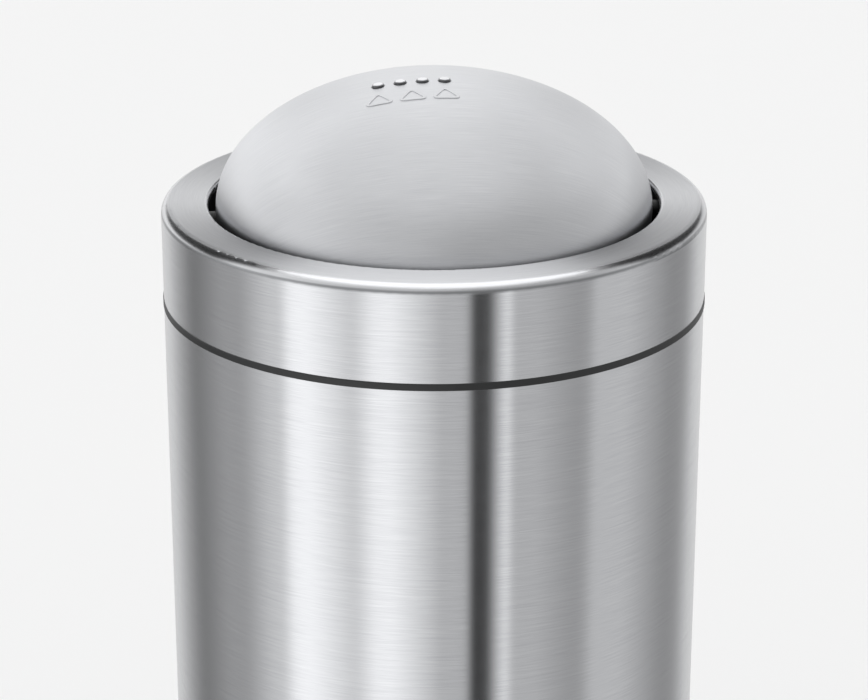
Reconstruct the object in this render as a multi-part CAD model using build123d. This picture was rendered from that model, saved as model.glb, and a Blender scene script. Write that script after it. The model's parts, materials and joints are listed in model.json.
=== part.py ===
from build123d import *
from math import cos, sin, radians
import os

# Swing-lid trash can, in millimetres, +Z up. It stands on the plane Z = 0 with its axis on Z.
# The flap swings about a line along X. The user stands at -Y.

# Steel body
can_radius = 150.0            # outside of the brushed steel shell, and of the lid ring
shell_wall = 0.8
shell_height = 562.0

# Clearances
fit_gap = 0.05                # between pieces that are pressed or screwed together
running_gap = 0.05            # pivot pin in its bush
slide_gap = 0.35              # between pieces that lift apart
weld = 0.2                    # how far two forms of one moulding run into each other
cut_over = 1.0                # how far a cut runs past what it cuts
touch = 0.01                  # how near a corner lies to a level to count as on it

# Base
pad_height = 3.0              # how far a rubber pad stands below the base ring
pad_seat = 1.5                # how deep a pad sits in the base ring
pad_radius = 5.0
pad_edge = 0.8
pad_count = 4
pad_first_angle = 45.0
pad_shift = 2.0               # from the middle of the base ring outwards to the pads
base_flange = 5.0             # thickness of the base ring under the shell's edge
base_ring_width = 16.4        # from the base ring's outside to its inside
base_edge = 1.5
base_upstand = 22.0
base_upstand_wall = 2.5
plate_thickness = 0.8
plate_rise = 4.0              # how far the middle of the bottom plate is pressed up
plate_margin = 22.6           # flat edge of the bottom plate, on the base ring
plate_slope = 8.0             # width of the slope inside that edge
base_screw_count = 4
base_screw_inset = 7.0        # from the inside of the upstand to the screws
base_screw_length = 9.0
base_head_recess = 2.6

# Black collar in the shell's mouth
rim_overhang = 0.4            # how far black rings stand out past the steel
collar_flange = 3.8
collar_ledge = 4.4            # flange width outside the upright wall
collar_wall = 2.5
collar_wall_height = 12.4
collar_skirt = 24.0
collar_skirt_wall = 2.5
collar_edge = 0.6             # rounding of the collar's top edges
finger_cut_angle = 22.0       # degrees of wall cut away on each side

# Blue bucket
bucket_play = 2.5             # from the collar's wall to the bucket's wall, at the top
bucket_wall = 2.0
bucket_taper = 16.0           # how much smaller the radius is at the bottom
bucket_floor_gap = 21.0       # from the shell's lower edge to the bucket
bucket_floor = 2.5
bucket_corner = 10.0
bucket_foot_height = 3.0
bucket_foot_width = 3.0
bucket_foot_inset = 14.0
bucket_flange = 2.0
bucket_rim_wall = 1.5
bucket_rim_drop = 6.0
bucket_lip_height = 3.0
bucket_lip_width = 2.6
bucket_edge = 0.7             # rounding of the flange and lip

# Steel lid ring
lid_ring_height = 53.0
lid_shoulder = 5.6
lid_annulus = 25.8            # from the lid ring's outside to its opening
lip_depth = 4.6
lip_round = 2.4
lip_curl = 3.0                # how far the lip's edge is turned out under the frame
curl_round = 0.9

# Black frame inside the lid
frame_plate = 3.0
frame_skirt_wall = 2.5
frame_hub_wall = 2.4
frame_hub_height = 20.0
frame_corner = 5.2
lip_clearance = 0.3
curl_clearance = 0.4
lid_rest_gap = 0.4            # from the frame down to the bucket's flange
rib_count = 12
rib_thickness = 2.0
rib_height = 13.0

# Flap pivot
pivot_drop = 10.0             # swing axis below the lid's top
pin_radius = 3.0
pin_chamfer = 0.5
pin_hold = 19.0               # length of pin inside the flap
bush_radius = 5.0
bush_flange_radius = 6.0
bush_flange = 1.5
bracket_half_width = 13.0
cap_height = 9.0
cap_screw_place = 9.5         # from the axis to each cap screw
cap_screw_share = 0.4         # where along the bracket the cap screws stand
cap_screw_length = 12.0
spacer_radius = 4.5

# Stops
flap_swing = 75.0             # degrees each way from level
stop_arm_length = 13.0
stop_arm_width = 4.0
stop_arm_thickness = 3.7
stop_hub_radius = 5.5
stop_reach = 8.0              # where along the arm a buffer touches
stop_gap = 0.3
arm_clearance = 1.65          # from the end of the stop arm to the frame's skirt
buffer_radius = 2.0
buffer_hold = 3.0             # length of a buffer inside its bracket
buffer_short = 0.5            # how much shorter a buffer is than the arm that meets it

# Steel dome
dome_gap = 4.0                # all round, from the opening to the dome
dome_height = 72.4
dome_wall = 0.6
equator_drop = 4.5            # widest line of the dome below the lid's top
dome_skirt = 13.5
dome_hem = 3.0

# Four stamped bumps for the hand to find
dot_count = 4
dot_pitch = 12.0
dot_radius = 3.4
dot_height = 1.5
dot_edge = 1.2                # rounding of a bump's top edge
dot_post = 4.0                # from a bump's top down into the dome's wall
dot_place_x = 13.0            # middle of the row
dot_place_y = 8.0

# Black pan that closes the dome
pan_wall = 2.0
pan_rim_width = 5.0
pan_rim_height = 13.0
pan_depth = 38.0              # below the swing axis
pan_flat_inset = 34.2         # from the dome's widest line to the flat of the pan
pan_knee_inset = 10.2
pan_knee_depth = 26.0
pan_round = 12.0
pan_hem_clearance = 0.3
pin_boss = 7.0

# Counterweights
weight_length = 120.0
weight_width = 26.0
weight_height = 14.0
weight_place = 34.0
weight_post = 5.0
weight_post_radius = 5.0
weight_screw_inset = 12.0
weight_edge = 1.5
weight_screw_short = 0.5      # how far a counterweight screw stops above the pan

# Screws
screw_radius = 1.5
screw_head_radius = 3.2
screw_head_height = 2.0
screw_head_round = 1.0
screw_point = 0.75
recess_length = 3.6
recess_width = 0.9
recess_depth = 1.1

# Levels from the floor up
base_level = pad_height
shell_low = base_level + base_flange
shell_top = shell_low + shell_height
collar_top = shell_top + collar_flange
collar_wall_top = collar_top + collar_wall_height
bucket_low = shell_low + bucket_floor_gap
bucket_flange_top = collar_wall_top + bucket_flange
bucket_lip_top = bucket_flange_top + bucket_lip_height
lid_low = collar_top
lid_top = lid_low + lid_ring_height
frame_top = lid_top - shell_wall
frame_under = frame_top - frame_plate
axis_level = lid_top - pivot_drop
equator = lid_top - equator_drop
dome_low = equator - dome_skirt
pan_low = axis_level - pan_depth

# Radii from the outside in
shell_inner = can_radius - shell_wall
flange_radius = can_radius + rim_overhang
upstand_radius = shell_inner - fit_gap
upstand_inner = upstand_radius - base_upstand_wall
base_inner_radius = flange_radius - base_ring_width
plate_flat_radius = upstand_inner - fit_gap - plate_margin - plate_slope
collar_wall_radius = flange_radius - collar_ledge
collar_wall_inner = collar_wall_radius - collar_wall
bucket_top_radius = collar_wall_inner - bucket_play
bucket_low_radius = bucket_top_radius - bucket_taper
bucket_rim_inner = collar_wall_radius + slide_gap
bucket_rim_radius = bucket_rim_inner + bucket_rim_wall
opening_radius = can_radius - lid_annulus
dome_radius = opening_radius - dome_gap
dome_inner = dome_radius - dome_wall
hub_radius = opening_radius + lip_curl + curl_clearance
frame_radius = shell_inner - fit_gap
frame_skirt_inner = frame_radius - frame_skirt_wall
pan_knee_radius = dome_radius - pan_knee_inset
pan_flat_radius = dome_radius - pan_flat_inset

# Places along the swing axis, from the lid's skirt inwards
arm_end = frame_skirt_inner - arm_clearance
arm_start = arm_end - stop_arm_thickness
bush_end = arm_start - stop_gap
bracket_end = bush_end - bush_flange
cap_screw_x = hub_radius + (bracket_end - hub_radius) * cap_screw_share
pin_start = dome_radius - pin_hold

SIDES = {"left": -1, "right": 1}


def box_between(low, high):
    """A box from its lowest corner to its highest."""
    size = [b - a for a, b in zip(low, high)]
    middle = [(a + b) / 2 for a, b in zip(low, high)]
    return Pos(*middle) * Box(*size)


def ring(inner, outer, low, high):
    """A plain ring between two radii and two levels."""
    solid = Pos(0, 0, (low + high) / 2) * Cylinder(outer, high - low)
    if inner > 0:
        solid -= Pos(0, 0, (low + high) / 2) * Cylinder(inner, high - low)
    return solid


def turned(face):
    """A face drawn as radius and level, turned once round the can's axis."""
    return revolve(Plane.XZ * face, Axis.Z)


def sheet(points, rounds, wall, side):
    """A thin section that follows a bent line, with its wall on one side of the line."""
    line = FilletPolyline(*points, radius=rounds)
    return make_face(offset(line, amount=wall, side=side))


def rod(radius, start, end, place_y=0.0, level=0.0):
    """A cylinder along X."""
    middle = Pos((start + end) / 2, place_y, level)
    return middle * Rot(0, 90, 0) * Cylinder(radius, abs(end - start))


def screw(length):
    """A pan-head screw that points down, with its head's underside at the origin."""
    head = Pos(0, 0, screw_head_height / 2) * Cylinder(screw_head_radius, screw_head_height)
    top_edge = head.edges().group_by(Axis.Z)[-1]
    head = fillet(top_edge, screw_head_round)
    shank = Pos(0, 0, -length / 2) * Cylinder(screw_radius, length)
    shank = chamfer(shank.edges().group_by(Axis.Z)[0], screw_point)
    recess_level = screw_head_height - recess_depth / 2
    for turn in (0, 90):
        head -= Pos(0, 0, recess_level) * Rot(0, 0, turn) * Box(recess_length, recess_width, recess_depth)
    return head + shank


def spread(count, radius, first_angle=0.0):
    """Points spaced evenly round the can's axis."""
    step = 360.0 / count
    angles = [radians(first_angle + step * i) for i in range(count)]
    return [(radius * cos(a), radius * sin(a)) for a in angles]


def pads_under_base():
    pad_circle = (base_inner_radius + flange_radius) / 2 + pad_shift
    return spread(pad_count, pad_circle, pad_first_angle)


def base_screw_points():
    return spread(base_screw_count, upstand_inner - base_screw_inset)


def make_base_ring():
    solid = ring(base_inner_radius, flange_radius, base_level, shell_low)
    solid = fillet(solid.edges().group_by(Axis.Z)[0].sort_by(SortBy.RADIUS)[-1], base_edge)
    solid += ring(upstand_inner, upstand_radius, shell_low, shell_low + base_upstand)
    for x, y in pads_under_base():
        solid -= Pos(x, y, base_level + pad_seat / 2) * Cylinder(pad_radius + fit_gap, pad_seat)
    for x, y in base_screw_points():
        solid -= Pos(x, y, (base_level + shell_low) / 2) * Cylinder(screw_radius + fit_gap, base_flange)
        solid -= Pos(x, y, base_level + base_head_recess / 2) * Cylinder(
            screw_head_radius + slide_gap, base_head_recess)
    return solid


def make_foot_pads():
    height = pad_height + pad_seat
    pad = Pos(0, 0, height / 2) * Cylinder(pad_radius, height)
    pad = fillet(pad.edges().group_by(Axis.Z)[0], pad_edge)
    return [Pos(x, y, 0) * pad for x, y in pads_under_base()]


def make_bottom_plate():
    low = shell_low + plate_thickness / 2
    high = low + plate_rise
    line = Polyline(
        (0, high),
        (plate_flat_radius, high),
        (plate_flat_radius + plate_slope, low),
        (upstand_inner - fit_gap, low),
    )
    half = plate_thickness / 2
    upper = [(p.X, p.Y + half) for p in line.vertices()]
    lower = [(p.X, p.Y - half) for p in line.vertices()]
    solid = turned(make_face(Polyline(*upper, *reversed(lower), close=True)))
    for x, y in base_screw_points():
        solid -= Pos(x, y, low) * Cylinder(screw_radius + fit_gap, plate_rise)
    return solid


def make_base_screws():
    head_level = base_level + base_head_recess
    one = Rot(180, 0, 0) * screw(base_screw_length)
    return [Pos(x, y, head_level) * one for x, y in base_screw_points()]


def make_body_shell():
    return ring(shell_inner, can_radius, shell_low, shell_top)


def make_top_collar():
    skirt_inner = upstand_radius - collar_skirt_wall
    section = make_face(Polyline(
        (collar_wall_inner, shell_top),
        (skirt_inner, shell_top),
        (skirt_inner, shell_top - collar_skirt),
        (upstand_radius, shell_top - collar_skirt),
        (upstand_radius, shell_top),
        (flange_radius, shell_top),
        (flange_radius, collar_top),
        (collar_wall_radius, collar_top),
        (collar_wall_radius, collar_wall_top),
        (collar_wall_inner, collar_wall_top),
        close=True,
    ))
    rounded = [v for v in section.vertices() if v.Y > collar_wall_top - touch]
    rounded += [v for v in section.vertices() if v.X > can_radius and v.Y > collar_top - touch]
    solid = turned(fillet(rounded, collar_edge))
    middle = (collar_wall_inner + collar_wall_radius) / 2
    window = Rectangle(2 * collar_wall, 2 * collar_wall_height)
    window = Pos(middle, collar_top + collar_wall_height) * window
    for turn in (0, 180):
        start = turn - finger_cut_angle / 2
        solid -= Rot(0, 0, start) * revolve(Plane.XZ * window, Axis.Z, revolution_arc=finger_cut_angle)
    return solid


def tub(low_radius, top_radius, low, corner):
    """A solid tub up to the top of the collar's wall, with its lower corner rounded."""
    section = make_face(Polyline(
        (0, low),
        (low_radius, low),
        (top_radius, collar_wall_top),
        (0, collar_wall_top),
        close=True,
    ))
    knee = section.vertices().sort_by_distance((low_radius, low, 0))[0]
    return turned(fillet(knee, corner))


def make_bucket():
    floor = bucket_low + bucket_foot_height
    inner_top = bucket_top_radius - bucket_wall
    inner_low = bucket_low_radius - bucket_wall
    solid = tub(bucket_low_radius, bucket_top_radius, floor, bucket_corner)
    solid -= tub(inner_low, inner_top, floor + bucket_floor, bucket_corner - bucket_wall)
    lip_outer = inner_top + bucket_lip_width
    rim_low = collar_wall_top - bucket_rim_drop
    rim = make_face(Polyline(
        (inner_top, collar_wall_top),
        (bucket_rim_inner, collar_wall_top),
        (bucket_rim_inner, rim_low),
        (bucket_rim_radius, rim_low),
        (bucket_rim_radius, bucket_flange_top),
        (lip_outer, bucket_flange_top),
        (lip_outer, bucket_lip_top),
        (inner_top, bucket_lip_top),
        close=True,
    ))
    rounded = [v for v in rim.vertices() if v.Y > bucket_flange_top - touch or v.Y < rim_low + touch]
    inner_bend = (lip_outer, bucket_flange_top, 0)
    rounded = [v for v in rounded if v != rim.vertices().sort_by_distance(inner_bend)[0]]
    solid += turned(fillet(rounded, bucket_edge))
    foot_outer = bucket_low_radius - bucket_foot_inset
    solid += ring(foot_outer - bucket_foot_width, foot_outer, bucket_low, floor)
    return solid


def make_lid_ring():
    section = sheet(
        [
            (can_radius, lid_low),
            (can_radius, lid_top),
            (opening_radius, lid_top),
            (opening_radius, lid_top - lip_depth),
            (opening_radius + lip_curl, lid_top - lip_depth),
        ],
        [lid_shoulder, lip_round, curl_round],
        shell_wall,
        Side.LEFT,
    )
    return turned(section)


def stop_points():
    """Where the buffers stand, seen along the axis, for the arm at each end of its swing."""
    swing = radians(flap_swing)
    off = stop_arm_width / 2 + buffer_radius + stop_gap
    place_y = stop_reach * sin(swing) + off * cos(swing)
    level = axis_level - stop_reach * cos(swing) + off * sin(swing)
    return [(-place_y, level), (place_y, level)]


def make_lid_frame():
    skirt_low = bucket_flange_top + lid_rest_gap
    plate = ring(opening_radius + shell_wall + lip_clearance, frame_radius, frame_under, frame_top)
    solid = plate + ring(frame_skirt_inner, frame_radius, skirt_low, frame_under)
    corner = [
        e for e in solid.edges().filter_by(GeomType.CIRCLE)
        if e.radius > frame_radius - touch and e.center().Z > frame_top - touch
    ]
    solid = fillet(corner, frame_corner)
    inner_corner = [
        e for e in solid.edges().filter_by(GeomType.CIRCLE)
        if e.radius < hub_radius and e.center().Z > frame_top - touch
    ]
    solid = fillet(inner_corner, lip_round)
    hub_outer = hub_radius + frame_hub_wall
    solid += ring(hub_radius, hub_outer, frame_top - frame_hub_height, frame_under)
    rib_length = frame_skirt_inner - hub_outer + 2 * weld
    for x, y in spread(rib_count, (frame_skirt_inner + hub_outer) / 2, 180.0 / rib_count):
        angle = Vector(x, y, 0).get_signed_angle(Vector(1, 0, 0), Vector(0, 0, -1))
        rib = Rot(0, 0, angle) * Box(rib_length, rib_thickness, rib_height)
        solid += Pos(x, y, frame_under - rib_height / 2) * rib
    for side in SIDES.values():
        solid += bracket_block(side, axis_level, frame_under)
        solid -= bracket_block(side, frame_top - frame_hub_height - cut_over, axis_level)
        solid -= rod(bush_radius + fit_gap, side * (hub_radius - cut_over), side * bracket_end, 0, axis_level)
        hold_start = side * (bracket_end - buffer_hold)
        for place_y, level in stop_points():
            solid -= rod(buffer_radius + fit_gap, hold_start, side * bracket_end, place_y, level)
        for place_y in (-cap_screw_place, cap_screw_place):
            depth = cap_screw_length - cap_height
            hole = Cylinder(screw_radius + fit_gap, depth + cut_over)
            solid -= Pos(side * cap_screw_x, place_y, axis_level + (depth + cut_over) / 2) * hole
    return solid


def bracket_block(side, low, high):
    """The full outline of a bearing bracket between two levels."""
    ends = sorted((side * (hub_radius - cut_over), side * bracket_end))
    block = box_between((ends[0], -bracket_half_width, low), (ends[1], bracket_half_width, high))
    return block - ring(0, hub_radius, low, high)


def make_bearing_cap(side):
    low = axis_level - cap_height
    solid = bracket_block(side, low, axis_level)
    solid -= rod(bush_radius + fit_gap, side * (hub_radius - cut_over), side * bracket_end, 0, axis_level)
    for place_y in (-cap_screw_place, cap_screw_place):
        hole = Cylinder(screw_radius + fit_gap, cap_height)
        solid -= Pos(side * cap_screw_x, place_y, low + cap_height / 2) * hole
    return solid


def make_cap_screws():
    one = Rot(180, 0, 0) * screw(cap_screw_length)
    low = axis_level - cap_height
    return [
        Pos(side * cap_screw_x, place_y, low) * one
        for side in SIDES.values()
        for place_y in (-cap_screw_place, cap_screw_place)
    ]


def make_bush(side):
    solid = rod(bush_radius, side * hub_radius, side * bracket_end, 0, axis_level)
    solid += rod(bush_flange_radius, side * bracket_end, side * bush_end, 0, axis_level)
    start, end = side * (hub_radius - cut_over), side * (bush_end + cut_over)
    return solid - rod(pin_radius + running_gap, start, end, 0, axis_level)


def make_stop_buffers():
    start, end = bracket_end - buffer_hold, arm_end - buffer_short
    return [
        rod(buffer_radius, side * start, side * end, place_y, level)
        for side in SIDES.values()
        for place_y, level in stop_points()
    ]


def make_stop_arm(side):
    start, end = side * arm_start, side * arm_end
    solid = rod(stop_hub_radius, start, end, 0, axis_level)
    tip_level = axis_level - stop_arm_length + stop_arm_width / 2
    solid += rod(stop_arm_width / 2, start, end, 0, tip_level)
    low_x, high_x = sorted((start, end))
    half = stop_arm_width / 2
    solid += box_between((low_x, -half, tip_level), (high_x, half, axis_level))
    return solid - rod(pin_radius + fit_gap, start - side, end + side, 0, axis_level)


def make_pin(side):
    pin = rod(pin_radius, side * pin_start, side * arm_end, 0, axis_level)
    return chamfer(pin.edges().filter_by(GeomType.CIRCLE), pin_chamfer)


def make_spacer(side):
    start = side * (dome_radius + fit_gap)
    end = side * (hub_radius - stop_gap)
    solid = rod(spacer_radius, start, end, 0, axis_level)
    return solid - rod(pin_radius + fit_gap, start - side, end + side, 0, axis_level)


def dome_body(radius, height, low):
    """Solid dome: the upper half of a flattened ball, standing on a cylinder."""
    ball = Pos(0, 0, equator) * scale(Sphere(radius), by=(1, 1, height / radius))
    return split(ball, Plane.XY.offset(equator), keep=Keep.TOP) + ring(0, radius, low, equator)


def dome_plane(x, y):
    """The plane that touches the dome's outside at a place seen from above."""
    share = (1 - (x * x + y * y) / dome_radius ** 2) ** 0.5
    slope = dome_height / (dome_radius ** 2 * share)
    return Plane(origin=(x, y, equator + dome_height * share), z_dir=(x * slope, y * slope, 1))


def button(radius, edge):
    """A post with a rounded top edge and the middle of its top at the origin."""
    post = Pos(0, 0, -dot_post / 2) * Cylinder(radius, dot_post)
    return fillet(post.edges().group_by(Axis.Z)[-1], edge)


def make_dome_shell():
    outer = dome_body(dome_radius, dome_height, dome_low)
    inner = dome_body(dome_inner, dome_height - dome_wall, dome_low + dome_wall)
    solid = outer - inner - ring(0, dome_radius - dome_hem, dome_low - cut_over, dome_low + dome_wall)
    for i in range(dot_count):
        x = dot_place_x + dot_pitch * (i - (dot_count - 1) / 2)
        place = dome_plane(x, dot_place_y)
        solid += place * Pos(0, 0, dot_height) * button(dot_radius, dot_edge) - inner
        hollow = button(dot_radius - dome_wall, dot_edge - dome_wall)
        solid -= place * Pos(0, 0, dot_height - dome_wall) * hollow
    for side in SIDES.values():
        solid -= rod(pin_radius + fit_gap, side * pin_start, side * (dome_radius + cut_over), 0, axis_level)
    return solid


def weight_screw_points(place_y):
    reach = weight_length / 2 - weight_screw_inset
    return [(-reach, place_y), (reach, place_y)]


def make_dome_pan():
    rim_radius = dome_inner - fit_gap
    rim_low = dome_low + dome_wall
    neck = dome_radius - dome_hem - pan_hem_clearance
    section = sheet(
        [
            (0, pan_low),
            (pan_flat_radius, pan_low),
            (pan_knee_radius, axis_level - pan_knee_depth),
            (neck, rim_low + pan_wall),
        ],
        [pan_round, pan_round],
        pan_wall,
        Side.LEFT,
    )
    solid = turned(section)
    solid += ring(rim_radius - pan_rim_width, rim_radius, rim_low, rim_low + pan_rim_height)
    floor = pan_low + pan_wall
    for place_y in (-weight_place, weight_place):
        for x, y in weight_screw_points(place_y):
            solid += Pos(x, y, floor + weight_post / 2) * Cylinder(weight_post_radius, weight_post)
            solid -= Pos(x, y, floor + weight_post / 2) * Cylinder(screw_radius + fit_gap, weight_post)
    inside_rim = rim_radius - pan_rim_width / 2
    for side in SIDES.values():
        ends = sorted((side * (pin_start - cut_over), side * inside_rim))
        low, high = axis_level - pin_boss, axis_level + pin_boss
        boss = box_between((ends[0], -pin_boss, low), (ends[1], pin_boss, high))
        solid += boss & ring(0, inside_rim, low, high)
        solid -= rod(pin_radius + fit_gap, side * pin_start, side * (dome_radius + cut_over), 0, axis_level)
    return solid


def make_counterweight(place_y):
    low = pan_low + pan_wall + weight_post
    solid = Pos(0, place_y, low + weight_height / 2) * Box(weight_length, weight_width, weight_height)
    solid = chamfer(solid.edges().filter_by(Axis.Z), weight_edge)
    for x, y in weight_screw_points(place_y):
        solid -= Pos(x, y, low + weight_height / 2) * Cylinder(screw_radius + fit_gap, weight_height)
    return solid


def make_counterweight_screws():
    top = pan_low + pan_wall + weight_post + weight_height
    one = screw(weight_height + weight_post - weight_screw_short)
    return [
        Pos(x, y, top) * one
        for place_y in (-weight_place, weight_place)
        for x, y in weight_screw_points(place_y)
    ]


def save(name, shape):
    """Writes one piece, or a group of like pieces, to its own file."""
    solids = shape if isinstance(shape, list) else [shape]
    plain = [s for piece in solids for s in piece.solids()]
    whole = plain[0] if len(plain) == 1 else Compound(children=plain)
    whole.label = name
    export_step(whole, f"parts/{name}.step")


def main():
    os.makedirs("parts", exist_ok=True)
    save("base_ring", make_base_ring())
    save("foot_pads", make_foot_pads())
    save("bottom_plate", make_bottom_plate())
    save("base_screws", make_base_screws())
    save("body_shell", make_body_shell())
    save("top_collar", make_top_collar())
    save("bucket", make_bucket())
    save("lid_ring", make_lid_ring())
    save("lid_frame", make_lid_frame())
    save("bearing_cap_screws", make_cap_screws())
    save("stop_buffers", make_stop_buffers())
    for name, side in SIDES.items():
        save(f"pivot_bush_{name}", make_bush(side))
        save(f"bearing_cap_{name}", make_bearing_cap(side))
        save(f"pivot_pin_{name}", make_pin(side))
        save(f"pivot_spacer_{name}", make_spacer(side))
        save(f"stop_arm_{name}", make_stop_arm(side))
    save("dome_shell", make_dome_shell())
    save("dome_pan", make_dome_pan())
    save("counterweight_front", make_counterweight(-weight_place))
    save("counterweight_rear", make_counterweight(weight_place))
    save("counterweight_screws", make_counterweight_screws())


main()
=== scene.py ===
import json
from math import cos, degrees, pi, radians, sin, tau

import bpy
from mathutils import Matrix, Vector

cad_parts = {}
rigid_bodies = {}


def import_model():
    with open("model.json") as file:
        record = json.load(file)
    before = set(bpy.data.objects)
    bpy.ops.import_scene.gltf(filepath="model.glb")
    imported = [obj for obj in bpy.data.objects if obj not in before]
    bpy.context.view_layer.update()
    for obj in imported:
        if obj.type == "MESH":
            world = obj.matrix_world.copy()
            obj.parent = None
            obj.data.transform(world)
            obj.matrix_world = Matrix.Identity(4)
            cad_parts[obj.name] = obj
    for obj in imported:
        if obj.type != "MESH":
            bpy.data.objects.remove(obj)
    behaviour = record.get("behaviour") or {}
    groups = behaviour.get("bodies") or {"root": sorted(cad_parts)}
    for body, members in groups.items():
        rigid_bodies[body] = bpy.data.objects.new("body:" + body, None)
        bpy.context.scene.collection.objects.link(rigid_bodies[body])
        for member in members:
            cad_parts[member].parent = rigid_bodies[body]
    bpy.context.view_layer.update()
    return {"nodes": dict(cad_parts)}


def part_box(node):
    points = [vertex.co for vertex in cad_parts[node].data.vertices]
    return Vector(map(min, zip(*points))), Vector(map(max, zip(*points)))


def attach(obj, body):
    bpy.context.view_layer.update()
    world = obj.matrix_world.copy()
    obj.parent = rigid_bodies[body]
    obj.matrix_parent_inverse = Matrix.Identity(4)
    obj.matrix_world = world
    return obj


for leftover in list(bpy.data.objects):
    bpy.data.objects.remove(leftover)
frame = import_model()
nodes = frame["nodes"]
mm = 0.001


# Base ring: one black polypropylene moulding under the can, pressed into the steel shell.
# Its skin has the fine spark-eroded texture of the mould, so its black is satin and a little
# cloudy.
def linear(hex_colour):
    """An sRGB hex colour as linear red, green, blue and alpha."""
    parts = [int(hex_colour[i:i + 2], 16) / 255 for i in (1, 3, 5)]
    return [p / 12.92 if p <= 0.04045 else ((p + 0.055) / 1.055) ** 2.4 for p in parts] + [1.0]


def add(tree, kind, inputs=None, **settings):
    """Adds a node with its settings. Each input takes a number, a colour or another node's output."""
    node = tree.nodes.new("ShaderNode" + kind)
    for setting, value in settings.items():
        setattr(node, setting, value)
    for socket, value in (inputs or {}).items():
        if isinstance(value, bpy.types.NodeSocket):
            tree.links.new(value, node.inputs[socket])
        else:
            node.inputs[socket].default_value = value
    return node


def surface(name, **numbers):
    """An empty material with its shader; numbers are the shader's own values, with _ for a space."""
    made = bpy.data.materials.new(name)
    made.use_nodes = True
    tree = made.node_tree
    tree.nodes.clear()
    shader = add(tree, "BsdfPrincipled", {k.replace("_", " "): v for k, v in numbers.items()})
    add(tree, "OutputMaterial", {"Surface": shader.outputs[0]})
    return made, tree, shader


def dress(material, *names):
    """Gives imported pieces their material, in the slot that they came with."""
    for name in names:
        nodes[name].material_slots[0].material = material


# Nearly all values of a noise pattern lie between these two.
noise_low = 0.3
noise_high = 0.7


def moulded_plastic(name, dark, light, roughness, grit, depth):
    """Injection-moulded plastic: grit is the size of the mould texture's grains, depth their height."""
    cloud_size = 30 * mm
    made, tree, shader = surface(name)
    place = add(tree, "TexCoord").outputs["Object"]
    grains = add(tree, "TexNoise", {"Vector": place, "Scale": 1 / grit, "Detail": 2.0, "Roughness": 0.6})
    clouds = add(tree, "TexNoise", {"Vector": place, "Scale": 1 / cloud_size, "Detail": 3.0})
    tint = add(tree, "MixRGB", {
        "Fac": clouds.outputs["Fac"], "Color1": linear(dark), "Color2": linear(light)})
    gloss = add(tree, "MapRange", {
        "Value": grains.outputs["Fac"], "From Min": noise_low, "From Max": noise_high,
        "To Min": roughness - 0.05, "To Max": roughness + 0.07})
    bump = add(tree, "Bump", {"Height": grains.outputs["Fac"], "Strength": 0.5, "Distance": depth})
    tree.links.new(tint.outputs["Color"], shader.inputs["Base Color"])
    tree.links.new(gloss.outputs["Result"], shader.inputs["Roughness"])
    tree.links.new(bump.outputs["Normal"], shader.inputs["Normal"])
    return made


black_polypropylene = moulded_plastic(
    "polypropylene_black_spark_textured", "#191A1B", "#222324", 0.44, 0.5 * mm, 0.03 * mm)
dress(black_polypropylene, "base_ring")

# Foot pads: four plugs of black rubber in pockets of the base ring. Rubber has almost no gloss,
# and its moulded skin holds a little grey dust.
black_rubber = moulded_plastic("rubber_black_matt", "#141414", "#242423", 0.82, 0.9 * mm, 0.06 * mm)
dress(black_rubber, "foot_pads")

# Bottom plate: a disc pressed from hot-dip galvanised sheet, screwed into the base ring.
# The zinc freezes in flat crystals, the spangle, each with its own grey and its own gloss.
spangle_size = 9 * mm
crystal_smooth = 0.32
crystal_rough = 0.52
galvanised, tree, shader = surface("steel_galvanised", Metallic=1.0)
place = add(tree, "TexCoord").outputs["Object"]
crystals = add(tree, "TexVoronoi", {"Vector": place, "Scale": 1 / spangle_size}, feature="F1")
shade = add(tree, "SeparateColor", {"Color": crystals.outputs["Color"]})
tint = add(tree, "MixRGB", {
    "Fac": shade.outputs["Red"], "Color1": linear("#9DA2A5"), "Color2": linear("#BEC2C3")})
gloss = add(tree, "MapRange", {
    "Value": shade.outputs["Green"], "To Min": crystal_smooth, "To Max": crystal_rough})
tree.links.new(tint.outputs["Color"], shader.inputs["Base Color"])
tree.links.new(gloss.outputs["Result"], shader.inputs["Roughness"])
dress(galvanised, "bottom_plate")


# Base screws: four zinc-plated pan-head screws, with a cross recess, that hold the bottom plate.
# Bright zinc is a pale blue-grey metal with fine marks from the heading die.
def small_steel(name, dark, light, roughness):
    """Small steel pieces, bare or coated: mottled at a few millimetres, with fine marks."""
    mottle_size = 2.5 * mm
    mark_size = 0.35 * mm
    mark_depth = 0.01 * mm
    made, tree, shader = surface(name, Metallic=1.0)
    place = add(tree, "TexCoord").outputs["Object"]
    mottle = add(tree, "TexNoise", {"Vector": place, "Scale": 1 / mottle_size, "Detail": 4.0})
    marks = add(tree, "TexNoise", {"Vector": place, "Scale": 1 / mark_size, "Detail": 2.0})
    tint = add(tree, "MixRGB", {
        "Fac": mottle.outputs["Fac"], "Color1": linear(dark), "Color2": linear(light)})
    gloss = add(tree, "MapRange", {
        "Value": mottle.outputs["Fac"], "To Min": roughness - 0.08, "To Max": roughness + 0.1})
    bump = add(tree, "Bump", {"Height": marks.outputs["Fac"], "Strength": 0.35, "Distance": mark_depth})
    tree.links.new(tint.outputs["Color"], shader.inputs["Base Color"])
    tree.links.new(gloss.outputs["Result"], shader.inputs["Roughness"])
    tree.links.new(bump.outputs["Normal"], shader.inputs["Normal"])
    return made


zinc_screws = small_steel("steel_zinc_plated", "#A9ADB0", "#C9CCCC", 0.3)
dress(zinc_screws, "base_screws")

# Body shell: 0.8 mm stainless sheet rolled into a tube, and brushed round and round.
# The brush lines run level, so each reflection is drawn out into an upright band.
# Real lines lie about 0.1 mm apart. They are drawn coarser here, so that they show.
line_pitch = 0.34 * mm
line_length = 26 * mm
groove_strength = 0.35


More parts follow.
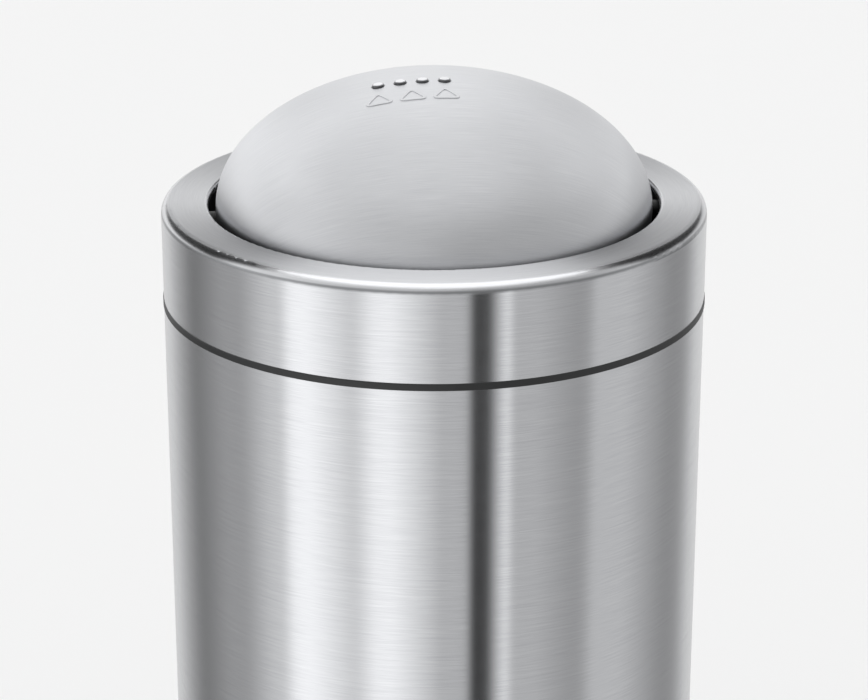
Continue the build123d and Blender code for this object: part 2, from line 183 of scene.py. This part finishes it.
def brush_lines(tree, along, around, across):
    """Fine scratches as a grey pattern, from distances along, around and across them."""
    lines_at = add(tree, "CombineXYZ", {"X": along, "Y": around, "Z": across})
    drawn = add(tree, "VectorMath", {
        0: lines_at.outputs[0], 1: (1 / line_length, 1 / line_length, 1 / line_pitch)},
        operation="MULTIPLY")
    return add(tree, "TexNoise", {
        "Vector": drawn.outputs[0], "Scale": 1.0, "Detail": 3.0, "Roughness": 0.75}).outputs["Fac"]


def finish_steel(tree, shader, lines, spread, deep, pale, smooth, rough, depth):
    """Colour, gloss and grooves from the brush lines, and the way in which they spread light."""
    tint = add(tree, "MapRange", {"Value": lines, "From Min": noise_low, "From Max": noise_high})
    colour = add(tree, "MixRGB", {
        "Fac": tint.outputs["Result"], "Color1": linear(deep), "Color2": linear(pale)})
    gloss = add(tree, "MapRange", {
        "Value": lines, "From Min": noise_low, "From Max": noise_high,
        "To Min": rough, "To Max": smooth})
    bump = add(tree, "Bump", {"Height": lines, "Strength": groove_strength, "Distance": depth})
    tangent = add(tree, "VectorTransform", {"Vector": spread},
                  vector_type="VECTOR", convert_from="OBJECT", convert_to="WORLD")
    tree.links.new(colour.outputs["Color"], shader.inputs["Base Color"])
    tree.links.new(gloss.outputs["Result"], shader.inputs["Roughness"])
    tree.links.new(bump.outputs["Normal"], shader.inputs["Normal"])
    tree.links.new(tangent.outputs[0], shader.inputs["Tangent"])
    return gloss, bump, colour


round_brushed_steel, tree, shader = surface(
    "stainless_steel_brushed_round", Metallic=1.0, Anisotropic=1.0)
place = add(tree, "TexCoord").outputs["Object"]
axes = add(tree, "SeparateXYZ", {"Vector": place})
flat = add(tree, "CombineXYZ", {"X": axes.outputs["X"], "Y": axes.outputs["Y"]})
radius = add(tree, "VectorMath", {0: flat.outputs[0]}, operation="LENGTH")
path = add(tree, "Math", {0: radius.outputs["Value"], 1: axes.outputs["Z"]}, operation="SUBTRACT")
facing = add(tree, "VectorTransform", {"Vector": add(tree, "NewGeometry").outputs["Normal"]},
             vector_type="NORMAL", convert_from="WORLD", convert_to="OBJECT")
round_can = add(tree, "VectorMath", {0: (0, 0, 1), 1: flat.outputs[0]}, operation="CROSS_PRODUCT")
spread = add(tree, "VectorMath", {
    0: round_can.outputs[0], 1: facing.outputs[0]}, operation="CROSS_PRODUCT")
lines = brush_lines(tree, axes.outputs["X"], axes.outputs["Y"], path.outputs[0])
gloss, _, colour = finish_steel(
    tree, shader, lines, spread.outputs[0], "#C3C4C7", "#D1D2D4", 0.17, 0.21, 0.008 * mm)

# Level faces of it, such as the top of the lid ring, are brushed on a lathe with a softer pad,
# which leaves them more matt. A darker line is painted round the lid's shoulder: a painted
# reflection of a dark flag, not a mark in the steel. Upward is 1 on a level face and 0 on an
# upright one.
pad_starts = 0.9
pad_full = 0.985
pad_roughness = 0.4
shoulder_starts = 140 * mm
bend_middle = 0.25
bend_core = 0.06
bend_edge = 0.2
painted_reflection_share = 0.75
upward = add(tree, "SeparateXYZ", {"Vector": facing.outputs[0]}).outputs["Z"]
level_face = add(tree, "MapRange", {"Value": upward, "From Min": pad_starts, "From Max": pad_full})
soft_gloss = add(tree, "MixRGB", {
    "Fac": level_face.outputs["Result"], "Color1": gloss.outputs["Result"],
    "Color2": [pad_roughness] * 3 + [1.0]})
tree.links.new(soft_gloss.outputs["Color"], shader.inputs["Roughness"])
from_bend = add(tree, "Math", {0: upward, 1: bend_middle}, operation="SUBTRACT")
off_bend = add(tree, "Math", {0: from_bend.outputs[0]}, operation="ABSOLUTE")
painted_reflection_profile = add(tree, "MapRange", {
    "Value": off_bend.outputs[0], "From Min": bend_core, "From Max": bend_edge,
    "To Min": painted_reflection_share, "To Max": 0.0})
outside = add(tree, "Math", {
    0: radius.outputs["Value"], 1: shoulder_starts}, operation="GREATER_THAN")
painted_reflection_mask = add(tree, "Math", {
    0: painted_reflection_profile.outputs["Result"], 1: outside.outputs[0]}, operation="MULTIPLY")
# Painted reflection: the base colour goes to dark grey in a thin line round the shoulder.
painted_reflection_colour = add(tree, "MixRGB", {
    "Fac": painted_reflection_mask.outputs[0], "Color1": colour.outputs["Color"], "Color2": linear("#7E8082")})
tree.links.new(painted_reflection_colour.outputs["Color"], shader.inputs["Base Color"])
dress(round_brushed_steel, "body_shell")

# Top collar: a black polypropylene moulding in the shell's mouth. Its upright wall guides the
# bucket, and two cuts in it leave room for fingertips.
dress(black_polypropylene, "top_collar")

# Bucket: a tapered tub of blue polypropylene that lifts out, deep blue all through. Faces that
# look away from the axis are painted paler and greyer. This is painted sheen, which makes the
# outside look lit and the inside shaded. Turned out is 1 on a face that looks away from the axis,
# below 0 inside.
painted_sheen_starts = 0.2
painted_sheen_full = 0.6
painted_sheen_share = 0.85
blue_polypropylene = moulded_plastic(
    "polypropylene_blue_satin", "#4482C2", "#4E8BCB", 0.4, 0.7 * mm, 0.04 * mm)
tree = blue_polypropylene.node_tree
shader = tree.nodes["Principled BSDF"]
inside_blue = shader.inputs["Base Color"].links[0].from_socket
axes = add(tree, "SeparateXYZ", {"Vector": add(tree, "TexCoord").outputs["Object"]})
flat = add(tree, "CombineXYZ", {"X": axes.outputs["X"], "Y": axes.outputs["Y"]})
outward = add(tree, "VectorMath", {0: flat.outputs[0]}, operation="NORMALIZE")
facing = add(tree, "VectorTransform", {"Vector": add(tree, "NewGeometry").outputs["Normal"]},
             vector_type="NORMAL", convert_from="WORLD", convert_to="OBJECT")
turned_out = add(tree, "VectorMath", {
    0: outward.outputs[0], 1: facing.outputs[0]}, operation="DOT_PRODUCT")
painted_sheen_mask = add(tree, "MapRange", {
    "Value": turned_out.outputs["Value"], "From Min": painted_sheen_starts, "From Max": painted_sheen_full,
    "To Min": 0.0, "To Max": painted_sheen_share})
# Painted sheen: faces turned out are mixed towards a pale greyish blue.
painted_sheen_blue = add(tree, "MixRGB", {
    "Fac": painted_sheen_mask.outputs["Result"], "Color1": inside_blue, "Color2": linear("#7490BA")})
tree.links.new(painted_sheen_blue.outputs["Color"], shader.inputs["Base Color"])
dress(blue_polypropylene, "bucket")

# Lid ring: spun from 0.8 mm stainless sheet, with a rolled shoulder and a rolled opening.
# It is brushed round like the shell, and the lines on top run round the opening.
dress(round_brushed_steel, "lid_ring")

# Lid frame and bearing caps: black glass-filled polypropylene, a shade rougher than the collar.
# They carry the flap's bearings inside the lid, out of sight.
filled_polypropylene = moulded_plastic(
    "polypropylene_black_glass_filled", "#141516", "#1F2021", 0.52, 0.8 * mm, 0.05 * mm)
dress(filled_polypropylene, "lid_frame", "bearing_cap_left", "bearing_cap_right")

# Bearing cap screws: four zinc-plated pan-head screws from below.
dress(zinc_screws, "bearing_cap_screws")

# Pivot bushes: turned from natural acetal, an off-white slippery plastic with a waxy gloss.
natural_acetal = moulded_plastic("acetal_natural", "#E2DFD4", "#EDEAE0", 0.34, 0.6 * mm, 0.01 * mm)
dress(natural_acetal, "pivot_bush_left", "pivot_bush_right")

# Stop buffers: four pegs of black rubber that catch the stop arms without a knock.
dress(black_rubber, "stop_buffers")

# Dome: pressed from 0.6 mm stainless sheet that was brushed in one direction along the swing
# axis, with a hem turned in round its edge and four small bumps for the hand to find.
# The brushing has been matted, so the dome mirrors no bands. Its lines are laid out on a ball
# that has the dome's width and height.
dome_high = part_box("dome_shell")[1]
dome_radius = dome_high.x
dome_cap = 67.9 * mm
ball_radius = (dome_radius ** 2 + dome_cap ** 2) / (2 * dome_cap)
dome_centre = dome_high.z - ball_radius
straight_brushed_steel, tree, shader = surface(
    "stainless_steel_brushed_straight", Metallic=1.0, Anisotropic=0.55)
place = add(tree, "TexCoord").outputs["Object"]
axes = add(tree, "SeparateXYZ", {"Vector": place})
height = add(tree, "Math", {0: axes.outputs["Z"], 1: dome_centre}, operation="SUBTRACT")
lean = add(tree, "Math", {0: axes.outputs["Y"], 1: height.outputs[0]}, operation="ARCTAN2")
across = add(tree, "Math", {0: lean.outputs[0], 1: ball_radius}, operation="MULTIPLY")
back = add(tree, "Math", {0: axes.outputs["Y"], 1: -1.0}, operation="MULTIPLY")
spread = add(tree, "CombineXYZ", {"Y": height.outputs[0], "Z": back.outputs[0]})
lines = brush_lines(tree, axes.outputs["X"], 0.0, across.outputs[0])
gloss, bump, colour = finish_steel(
    tree, shader, lines, spread.outputs[0], "#C6C7CA", "#D3D4D6", 0.38, 0.48, 0.016 * mm)

# The stamping die has rubbed the bumps bright: there the steel is smooth and hardly brushed.
# A dark ring is painted round the foot of each: painted shade and dark reflection where the bump's steep
# rim meets the dome.
bump_row = Vector((13 * mm, 8 * mm))
bump_pitch = 12 * mm
bump_radius = 3.4 * mm
bump_count = 4
bump_depth_below_top = 6 * mm
bump_roughness = 0.07
bump_scratches = 0.03
polish_full = bump_radius + 0.1 * mm
polish_ends = bump_radius + 0.7 * mm
painted_ring_starts = bump_radius - 0.7 * mm
painted_ring_full = bump_radius - 0.2 * mm
painted_ring_share = 0.85
first_bump = bump_row.x - bump_pitch * (bump_count - 1) / 2
from_first = add(tree, "Math", {0: axes.outputs["X"], 1: first_bump}, operation="SUBTRACT")
turns = add(tree, "Math", {0: from_first.outputs[0], 1: 1 / bump_pitch}, operation="MULTIPLY")
nearest = add(tree, "Math", {0: turns.outputs[0]}, operation="ROUND")
bounded = add(tree, "Clamp", {"Value": nearest.outputs[0], "Min": 0.0, "Max": bump_count - 1.0})
aside = add(tree, "Math", {0: turns.outputs[0], 1: bounded.outputs[0]}, operation="SUBTRACT")
beside = add(tree, "Math", {0: aside.outputs[0], 1: bump_pitch}, operation="MULTIPLY")
behind = add(tree, "Math", {0: axes.outputs["Y"], 1: bump_row.y}, operation="SUBTRACT")
offset = add(tree, "CombineXYZ", {"X": beside.outputs[0], "Y": behind.outputs[0]})
distance = add(tree, "VectorMath", {0: offset.outputs[0]}, operation="LENGTH")
polished = add(tree, "MapRange", {
    "Value": distance.outputs["Value"], "From Min": polish_full, "From Max": polish_ends,
    "To Min": 1.0, "To Max": 0.0})
above = add(tree, "Math", {
    0: axes.outputs["Z"], 1: dome_high.z - bump_depth_below_top}, operation="GREATER_THAN")
rubbed = add(tree, "Math", {
    0: polished.outputs["Result"], 1: above.outputs[0]}, operation="MULTIPLY")
shine = add(tree, "MixRGB", {
    "Fac": rubbed.outputs[0], "Color1": gloss.outputs["Result"],
    "Color2": [bump_roughness] * 3 + [1.0]})
scratches = add(tree, "MapRange", {
    "Value": rubbed.outputs[0], "To Min": groove_strength, "To Max": bump_scratches})
foot = add(tree, "MapRange", {
    "Value": distance.outputs["Value"], "From Min": painted_ring_starts, "From Max": painted_ring_full,
    "To Min": 0.0, "To Max": painted_ring_share})
painted_ring_mask = add(tree, "Math", {0: foot.outputs["Result"], 1: rubbed.outputs[0]}, operation="MULTIPLY")
# Painted shade: the base colour goes near black in a thin ring round the foot of each bump.
painted_ring_colour = add(tree, "MixRGB", {
    "Fac": painted_ring_mask.outputs[0], "Color1": colour.outputs["Color"], "Color2": linear("#2B2C2E")})
tree.links.new(painted_ring_colour.outputs["Color"], shader.inputs["Base Color"])
tree.links.new(shine.outputs["Color"], shader.inputs["Roughness"])
tree.links.new(scratches.outputs["Result"], bump.inputs["Strength"])
dress(straight_brushed_steel, "dome_shell")

# Raised sign: three plain triangles in outline, embossed in the dome behind the bumps, that
# point to where it is pushed. The rims stand just under half a millimetre proud, and are brushed
# like the dome.
sign_middle = Vector((14 * mm, 29 * mm))
sign_pitch = 18 * mm
sign_radius = 10.5 * mm
sign_corner = 5 * mm
rim_width = 1.8 * mm
rim_edge = 0.3 * mm
rim_height = 0.45 * mm
rim_sunk = 0.3 * mm
sign_start = dome_high.z + 10 * mm

bpy.ops.object.select_all(action="DESELECT")
triangles = []
for step in (-1, 0, 1):
    bpy.ops.mesh.primitive_circle_add(
        vertices=3, radius=sign_radius, fill_type="NGON",
        location=(sign_middle.x + step * sign_pitch, sign_middle.y, sign_start),
        rotation=(0, 0, radians(180)))
    triangle = bpy.context.object
    bpy.ops.object.mode_set(mode="EDIT")
    bpy.ops.mesh.bevel(offset=sign_corner, segments=6, affect="VERTICES")
    bpy.ops.mesh.inset(thickness=rim_width)
    bpy.ops.mesh.delete(type="FACE")
    bpy.ops.mesh.select_all(action="SELECT")
    bpy.ops.mesh.subdivide(number_cuts=3)
    bpy.ops.object.mode_set(mode="OBJECT")
    triangles.append(triangle)
for triangle in triangles:
    triangle.select_set(True)
bpy.ops.object.join()
raised_sign = bpy.context.object
raised_sign.name = "raised_sign"
bpy.ops.object.transform_apply(location=True, rotation=True, scale=True)
wrap = raised_sign.modifiers.new("lay_on_dome", "SHRINKWRAP")
wrap.target = nodes["dome_shell"]
wrap.wrap_method = "PROJECT"
wrap.use_project_z = True
wrap.use_negative_direction = True
wrap.offset = rim_height
bpy.ops.object.modifier_apply(modifier=wrap.name)
wall = raised_sign.modifiers.new("wall", "SOLIDIFY")
wall.thickness = rim_height + rim_sunk
wall.offset = -1.0
bpy.ops.object.modifier_apply(modifier=wall.name)
edge = raised_sign.modifiers.new("edge", "BEVEL")
edge.width = rim_edge
edge.segments = 3
edge.limit_method = "ANGLE"
edge.use_clamp_overlap = False
bpy.ops.object.modifier_apply(modifier=edge.name)
raised_sign.data.materials.append(straight_brushed_steel)
bpy.ops.object.shade_smooth_by_angle(angle=radians(35))
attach(raised_sign, "flap")

# Dome pan: a black polypropylene bowl that closes the dome from below and holds its weights.
dress(filled_polypropylene, "dome_pan")

# Pivot pins: ground steel rod, bright, with fine marks from the grinding wheel.
# Spacers: black nylon sleeves between dome and frame.
ground_steel = small_steel("steel_ground", "#B4B5B6", "#CACBCB", 0.24)
dress(ground_steel, "pivot_pin_left", "pivot_pin_right")
black_nylon = moulded_plastic("nylon_black", "#171818", "#202121", 0.46, 0.5 * mm, 0.02 * mm)
dress(black_nylon, "pivot_spacer_left", "pivot_spacer_right")

# Stop arms: stamped from zinc-plated steel strip, pressed on the pins.
dress(zinc_screws, "stop_arm_left", "stop_arm_right")

# Counterweights: two black-phosphated steel bars, screwed to posts in the pan.
# Phosphate is a dark grey crystalline skin with a dull metal gleam.
phosphated = small_steel("steel_phosphated", "#3A3B3C", "#4B4C4C", 0.55)
dress(phosphated, "counterweight_front", "counterweight_rear")
dress(zinc_screws, "counterweight_screws")

# Floor: a plain pale table top far wider than the view. It takes the can's soft shadow.
# Steel isn't shown it, so the upright bands run on to the can's foot as in a light tent.
floor_size = 60.0
bpy.ops.object.select_all(action="DESELECT")
bpy.ops.mesh.primitive_plane_add(size=floor_size, location=(0, 0, 0))
floor = bpy.context.object
floor.name = "floor"
paper, tree, shader = surface("paper_white_matt", Roughness=0.9)
shader.inputs["Base Color"].default_value = linear("#F3F3F3")
floor.data.materials.append(paper)
floor.visible_glossy = False

# Camera: behind the can, above its lid and looking down at it, with a long lens.
# The angles and distances come from fitting the lid's circles in the photograph.
view_azimuth = radians(175)
view_pitch = radians(20.4)
view_distance = 1475 * mm
view_level = 1085 * mm
lens = 116.1
sensor_width = 36.0
towards = Vector((sin(view_azimuth), -cos(view_azimuth), 0))
camera_data = bpy.data.cameras.new("camera")
camera_data.lens = lens
camera_data.sensor_width = sensor_width
camera = bpy.data.objects.new("camera", camera_data)
bpy.context.scene.collection.objects.link(camera)
camera.location = towards * view_distance + Vector((0, 0, view_level))
looking = -towards * cos(view_pitch) - Vector((0, 0, sin(view_pitch)))
camera.rotation_euler = looking.to_track_quat("-Z", "Y").to_euler()
bpy.context.scene.camera = camera

# Studio: a round light tent with tall softboxes and dark flags, fixed to the room. Each line is
# a stretch of it: from and to in degrees round from the camera, right of it above zero, and how
# bright it is. Between two stretches the light changes evenly.
camera_bearing = degrees(view_azimuth) - 90

# The wall reaches up to a little below level. The upright steel mirrors it in bands.
tent_wall = [
    (-180, -149, 0.8),
    (-122, -118, 0.24),
    (-100, -88, 0.46),
    (-72, -67, 0.92),
    (-62, -54, 1.6),
    (-36, -33, 1.0),
    (-25, -18, 1.5),
    (3, 13.5, 0.72),
    (16.6, 23, 0.01),
    (30, 31, 1.25),
    (33.5, 44, 0.7),
    (62, 67, 0.46),
    (71, 88, 0.78),
    (117, 130, 0.38),
    (146, 180, 0.8),
]

# The edge lies just above level. It lights the steep foot of the dome.
tent_edge = [
    (-180, -172, 1.0),
    (-150, -80, 1.2),
    (-40, -10, 0.75),
    (10, 70, 0.6),
    (100, 150, 0.85),
    (172, 180, 1.0),
]

# The roof slopes up from there to the crown, which is even all round. They light the dome.
tent_roof = [
    (-180, -150, 1.6),
    (-110, -70, 1.05),
    (-30, -10, 0.68),
    (20, 60, 0.52),
    (90, 110, 0.75),
    (150, 180, 1.5),
]

# Two dark flags hang before the roof, behind the can. The lid ring mirrors them in its shoulder.
# A level of 1 is no flag.
tent_flags = [
    (-180, -172, 1.0),
    (-155, -105, 0.03),
    (-92, 92, 1.0),
    (105, 155, 0.03),
    (172, 180, 1.0),
]
brightest = 1.7
crown_level = 1.1

# Heights between which one gives way to the next, in degrees above level.
wall_to_edge = (-9, 2)
edge_to_roof = (12, 26)
roof_to_crown = (35, 80)
clear_to_flags = (6, 14)
flags_to_clear = (48, 60)


def wall_ramp(tree, factor, stretches, full):
    """A ramp right round the tent, with a stop at each end of each stretch. Full is its white."""
    ramp = add(tree, "ValToRGB", {"Fac": factor})
    stops = [
        (0.5 + angle / 360, level) for start, end, level in stretches for angle in (start, end)]
    elements = ramp.color_ramp.elements
    while len(elements) < len(stops):
        elements.new(1.0)
    for element, (position, level) in zip(elements, stops):
        element.position = position
        element.color = [level / full] * 3 + [1.0]
    return ramp.outputs["Color"]


world = bpy.data.worlds.new("studio")
bpy.context.scene.world = world
world.use_nodes = True
tree = world.node_tree
tree.nodes.clear()
axes = add(tree, "SeparateXYZ", {"Vector": add(tree, "TexCoord").outputs["Generated"]})
bearing = add(tree, "Math", {0: axes.outputs["Y"], 1: axes.outputs["X"]}, operation="ARCTAN2")
share = add(tree, "Math", {
    0: bearing.outputs[0], 1: 1 / tau, 2: 0.5 - camera_bearing / 360 + 1}, operation="MULTIPLY_ADD")
turn = add(tree, "Math", {0: share.outputs[0]}, operation="FRACT").outputs[0]


def up_to(tree, lower, upper, start, end):
    """Light that changes from lower to upper between two heights, in degrees above level."""
    rise = add(tree, "MapRange", {
        "Value": axes.outputs["Z"], "From Min": sin(radians(start)), "From Max": sin(radians(end))},
        interpolation_type="SMOOTHSTEP")
    return add(tree, "MixRGB", {
        "Fac": rise.outputs["Result"], "Color1": lower, "Color2": upper}).outputs["Color"]


wall_light = wall_ramp(tree, turn, tent_wall, brightest)
edge_light = wall_ramp(tree, turn, tent_edge, brightest)
roof_light = wall_ramp(tree, turn, tent_roof, brightest)
crown_light = [crown_level / brightest] * 3 + [1.0]
tent = up_to(tree, wall_light, edge_light, *wall_to_edge)
tent = up_to(tree, tent, roof_light, *edge_to_roof)
tent = up_to(tree, tent, crown_light, *roof_to_crown)
clear = [1.0, 1.0, 1.0, 1.0]
flagged = up_to(tree, clear, wall_ramp(tree, turn, tent_flags, 1.0), *clear_to_flags)
flagged = up_to(tree, flagged, clear, *flags_to_clear)
tent = add(tree, "MixRGB", {
    "Fac": 1.0, "Color1": tent, "Color2": flagged}, blend_type="MULTIPLY").outputs["Color"]
tent_glow = add(tree, "Background", {"Color": tent, "Strength": brightest})
backdrop = add(tree, "Background", {"Color": linear("#F6F6F6"), "Strength": 1.0})
seen = add(tree, "LightPath").outputs["Is Camera Ray"]
both = add(tree, "MixShader", {0: seen, 1: tent_glow.outputs[0], 2: backdrop.outputs[0]})
add(tree, "OutputWorld", {"Surface": both.outputs[0]})

# Overhead softbox: a round lamp above the can, flagged off everything but the lid ring. It gives
# the white line in the ring's shoulder, and lifts the flat of the ring in front of the dome.
overhead_height = 2.4
overhead_width = 2.4
overhead_power = 10
softbox_lamp = bpy.data.lights.new("overhead_softbox", "AREA")
softbox_lamp.shape = "DISK"
softbox_lamp.size = overhead_width
softbox_lamp.energy = overhead_power
overhead_softbox = bpy.data.objects.new("overhead_softbox", softbox_lamp)
overhead_softbox.location = (0, 0, overhead_height)
bpy.context.scene.collection.objects.link(overhead_softbox)
lit_pieces = bpy.data.collections.new("lit_by_the_overhead_softbox")
lit_pieces.objects.link(nodes["lid_ring"])
overhead_softbox.light_linking.receiver_collection = lit_pieces

# Side softboxes: one in front of each dark flag behind the can, at both sides, flagged off the lid
# ring and the floor alone. The ring mirrors the dark flags, in a streak along its shoulder, and
# all other pieces get the light that the flags take away. Each line is a box: degrees round from
# the camera, and how bright it is.
side_boxes = [
    (-130, 1.32),
    (130, 1.05),
]
side_box_rise = radians(31)
side_box_distance = 3.0
side_box_wide = 3.0
side_box_tall = 2.4
lid_level = 0.62
shaded_pieces = bpy.data.collections.new("not_lit_by_the_side_softboxes")
for piece in (nodes["lid_ring"], floor):
    shaded_pieces.objects.link(piece)
for entry in shaded_pieces.collection_objects:
    entry.light_linking.link_state = "EXCLUDE"
for bearing_from_camera, glow in side_boxes:
    box_azimuth = view_azimuth + radians(bearing_from_camera)
    outwards = Vector((
        sin(box_azimuth) * cos(side_box_rise),
        -cos(box_azimuth) * cos(side_box_rise),
        sin(side_box_rise)))
    side_lamp = bpy.data.lights.new("side_softbox", "AREA")
    side_lamp.shape = "RECTANGLE"
    side_lamp.size = side_box_wide
    side_lamp.size_y = side_box_tall
    side_lamp.energy = glow * pi * side_box_wide * side_box_tall
    side_softbox = bpy.data.objects.new("side_softbox", side_lamp)
    side_softbox.location = Vector((0, 0, lid_level)) + outwards * side_box_distance
    side_softbox.rotation_euler = outwards.to_track_quat("Z", "Y").to_euler()
    side_softbox.light_linking.receiver_collection = shaded_pieces
    bpy.context.scene.collection.objects.link(side_softbox)

# Floor light: an even glow from above on the table top alone, so that the paper stays pale.
floor_light_strength = 0.8
floor_light_spread = radians(150)
floor_light_height = 4.0
floor_lamp = bpy.data.lights.new("floor_light", "SUN")
floor_lamp.energy = floor_light_strength
floor_lamp.angle = floor_light_spread
floor_light = bpy.data.objects.new("floor_light", floor_lamp)
floor_light.location = (0, 0, floor_light_height)
bpy.context.scene.collection.objects.link(floor_light)
floor_pieces = bpy.data.collections.new("lit_by_the_floor_light")
floor_pieces.objects.link(floor)
floor_light.light_linking.receiver_collection = floor_pieces

bpy.context.scene.view_settings.view_transform = "Standard"
